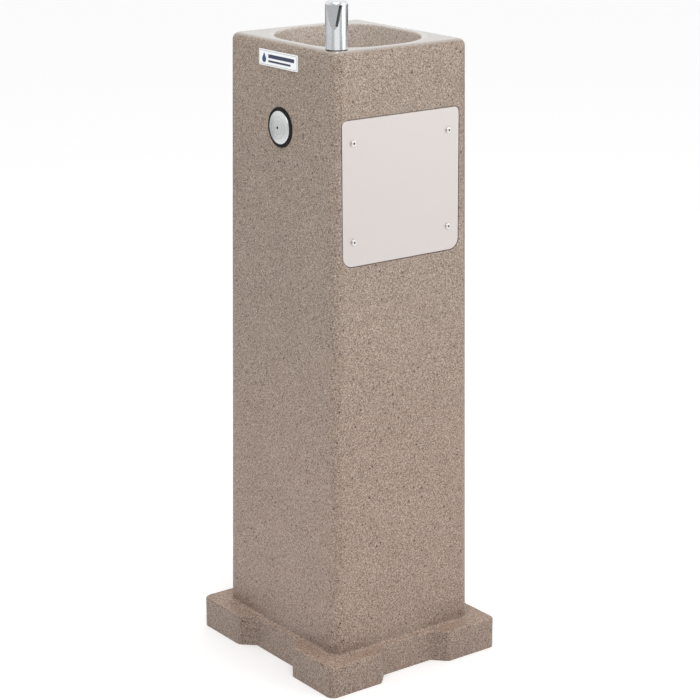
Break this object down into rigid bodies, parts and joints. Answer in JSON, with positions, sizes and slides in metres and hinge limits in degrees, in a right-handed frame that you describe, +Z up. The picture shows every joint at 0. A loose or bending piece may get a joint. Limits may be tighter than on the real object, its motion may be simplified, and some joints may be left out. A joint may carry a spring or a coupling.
{
  "type": "pedestal drinking fountain",
  "caption": "Tapered square pedestal drinking fountain with a recessed basin, upright bubbler, push button, screwed access panel and four block feet.",
  "frame": {"origin": "centre of the base, on the floor", "axes": "+Z up; the push button and name plate are on the -Y face and the access panel on the +X face; the bubbler is at the +X -Y corner of the rim"},
  "size_m": [0.333, 0.3064, 0.9803],
  "materials": {
    "granite_polyethylene": "rotomoulded polyethylene with a fine speckled stone grain",
    "brushed_stainless": "fine brushed stainless steel",
    "polished_stainless": "smooth satin stainless steel",
    "chrome_plate": "bright chrome plate",
    "black_nylon": "moulded black nylon",
    "black_rubber": "moulded rubber",
    "white_plate": "white lacquered plate",
    "blue_print": "blue enamel",
    "brass": "turned brass",
    "copper": "bare drawn copper, lightly dulled",
    "spring_steel": "drawn spring wire",
    "zinc_steel": "zinc plated steel",
    "white_pvc": "extruded white waste pipe",
    "red_vinyl": "dipped vinyl grip"
  },
  "bodies": {
    "pedestal": {"pedestal_shell": "granite_polyethylene", "panel_gasket": "black_rubber", "access_panel": "brushed_stainless", "panel_screws": "polished_stainless", "panel_inserts": "brass", "nameplate": "white_plate", "nameplate_drop": "blue_print", "button_bezel": "black_nylon", "bezel_locknut": "black_nylon", "valve_seat": "black_nylon", "return_spring": "spring_steel", "valve_body": "brass", "bubbler_head": "chrome_plate", "bubbler_gasket": "black_rubber", "bubbler_shank": "brass", "bubbler_washer": "black_rubber", "bubbler_locknut": "brass", "bubbler_tube_nut": "brass", "outlet_tube": "copper", "outlet_nut": "brass", "inlet_tube": "copper", "inlet_nut": "brass", "strainer_nut": "brass", "inline_strainer": "brass", "link_pipe": "copper", "stop_valve_body": "chrome_plate", "packing_nut": "brass", "supply_pipe": "copper", "supply_nut": "brass", "supply_adapter": "brass", "drain_gasket": "black_rubber", "drain_body": "chrome_plate", "drain_grate": "polished_stainless", "grate_screw": "polished_stainless", "drain_locknut": "brass", "tailpiece": "white_pvc", "tailpiece_nut": "white_pvc", "trap_bend": "white_pvc", "trap_inlet_nut": "white_pvc", "crown_bend": "white_pvc", "trap_outlet_nut": "white_pvc", "waste_pipe": "white_pvc", "waste_adapter": "white_pvc", "waste_sleeve": "black_rubber", "sleeve_clamps": "zinc_steel"},
    "button": {"push_button": "polished_stainless", "button_stem": "polished_stainless", "valve_poppet": "black_rubber"},
    "stop_lever": {"stop_valve_ball": "chrome_plate", "stop_valve_stem": "brass", "stop_valve_lever": "zinc_steel", "lever_grip": "red_vinyl", "lever_nut": "zinc_steel"},
    "regulator": {"regulator_screw": "brass"}
  },
  "joints": [
    {"name": "button_press", "type": "slide", "parent": "pedestal", "child": "button", "axis": [0, 0.9999, -0.0109], "range_m": [0, 0.004], "stiffness_N_per_m": 1200, "springref_m": -0.002, "deforming": ["return_spring"]},
    {"name": "stop_valve_turn", "type": "hinge", "parent": "pedestal", "child": "stop_lever", "pos_m": [-0.066, -0.0798, 0.59], "axis": [-1, 0, 0], "range_deg": [0, 90]},
    {"name": "regulator_turn", "type": "hinge", "parent": "pedestal", "child": "regulator", "pos_m": [0, -0.0663, 0.79545], "axis": [0, -0.9999, 0.0109], "range_deg": [0, 270]}
  ]
}
